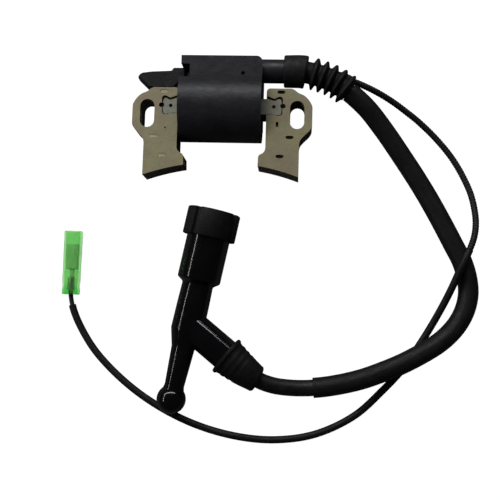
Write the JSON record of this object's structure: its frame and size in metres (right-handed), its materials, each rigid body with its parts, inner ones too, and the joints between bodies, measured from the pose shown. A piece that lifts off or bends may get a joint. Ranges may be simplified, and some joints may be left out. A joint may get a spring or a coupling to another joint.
{
  "type": "ignition coil",
  "caption": "Small-engine ignition coil with a laminated pole each side of a moulded coil case, a sleeved high-tension lead with a plug cap, and a stop-switch lead with a connector.",
  "frame": {"origin": "on the flat rear face of the coil, in plan midway between the two mounting slots", "axes": "+X from the stop terminal towards the lead outlet, +Y away from the flywheel, +Z out of the rear face towards the rounded front of the case; the rear face lies on the table"},
  "size_m": [0.2064, 0.1904, 0.0338],
  "materials": {
    "laminated_steel": "lacquered stack of sheared steel sheets",
    "case_plastic": "satin black moulded nylon",
    "cast_resin": "cast epoxy with a smooth skin",
    "bobbin_plastic": "natural moulded polyester",
    "enamelled_copper": "enamelled copper wire, wound",
    "circuit_board": "lacquered board",
    "component_body": "moulded",
    "ceramic": "fired, unglazed",
    "brass_strip": "stamped",
    "tinned_strip": "stamped and tinned",
    "spring_steel": "drawn",
    "moulded_rubber": "matt moulded",
    "lead_rubber": "smooth extruded",
    "sleeve_vinyl": "matt extruded vinyl",
    "pouch_vinyl": "matt moulded vinyl",
    "wire_vinyl": "smooth extruded vinyl",
    "cap_phenolic": "polished moulded phenolic",
    "clear_green_vinyl": "clear tinted vinyl"
  },
  "bodies": {
    "coil": {"left_pole_stack": "laminated_steel", "right_pole_stack": "laminated_steel", "core_bar_stack": "laminated_steel", "coil_case": "case_plastic", "potting_resin": "cast_resin", "primary_bobbin": "bobbin_plastic", "primary_winding": "enamelled_copper", "secondary_bobbin": "bobbin_plastic", "secondary_winding_1": "enamelled_copper", "secondary_winding_2": "enamelled_copper", "secondary_winding_3": "enamelled_copper", "secondary_winding_4": "enamelled_copper", "module_board": "circuit_board", "power_transistor": "component_body", "module_capacitor": "ceramic", "module_resistor": "ceramic", "stop_terminal_blade": "brass_strip", "earth_strip": "brass_strip", "ht_contact_pin": "brass_strip", "stop_lead_rear": "wire_vinyl", "grommet_boot": "moulded_rubber", "ht_lead": "lead_rubber", "ht_sleeve": "sleeve_vinyl", "stop_lead": "wire_vinyl", "stop_sleeve_upper": "sleeve_vinyl", "stop_sleeve_lower": "sleeve_vinyl", "connector_terminal": "tinned_strip", "cap_body": "cap_phenolic", "cap_plug_seal": "moulded_rubber", "cap_cable_seal": "moulded_rubber", "cap_terminal_clip": "brass_strip", "cap_resistor": "ceramic", "cap_spring": "spring_steel", "cap_cable_screw": "brass_strip"},
    "terminal": {"stop_receptacle": "tinned_strip", "terminal_sleeve": "pouch_vinyl"},
    "cover": {"connector_cover": "clear_green_vinyl"}
  },
  "joints": [
    {"name": "terminal_pull", "type": "slide", "parent": "coil", "child": "terminal", "axis": [-1, 0, 0], "range_m": [0, 0.009], "deforming": ["stop_lead_rear"]},
    {"name": "cover_slide", "type": "slide", "parent": "coil", "child": "cover", "axis": [0, -1, 0], "range_m": [0, 0.004]}
  ]
}
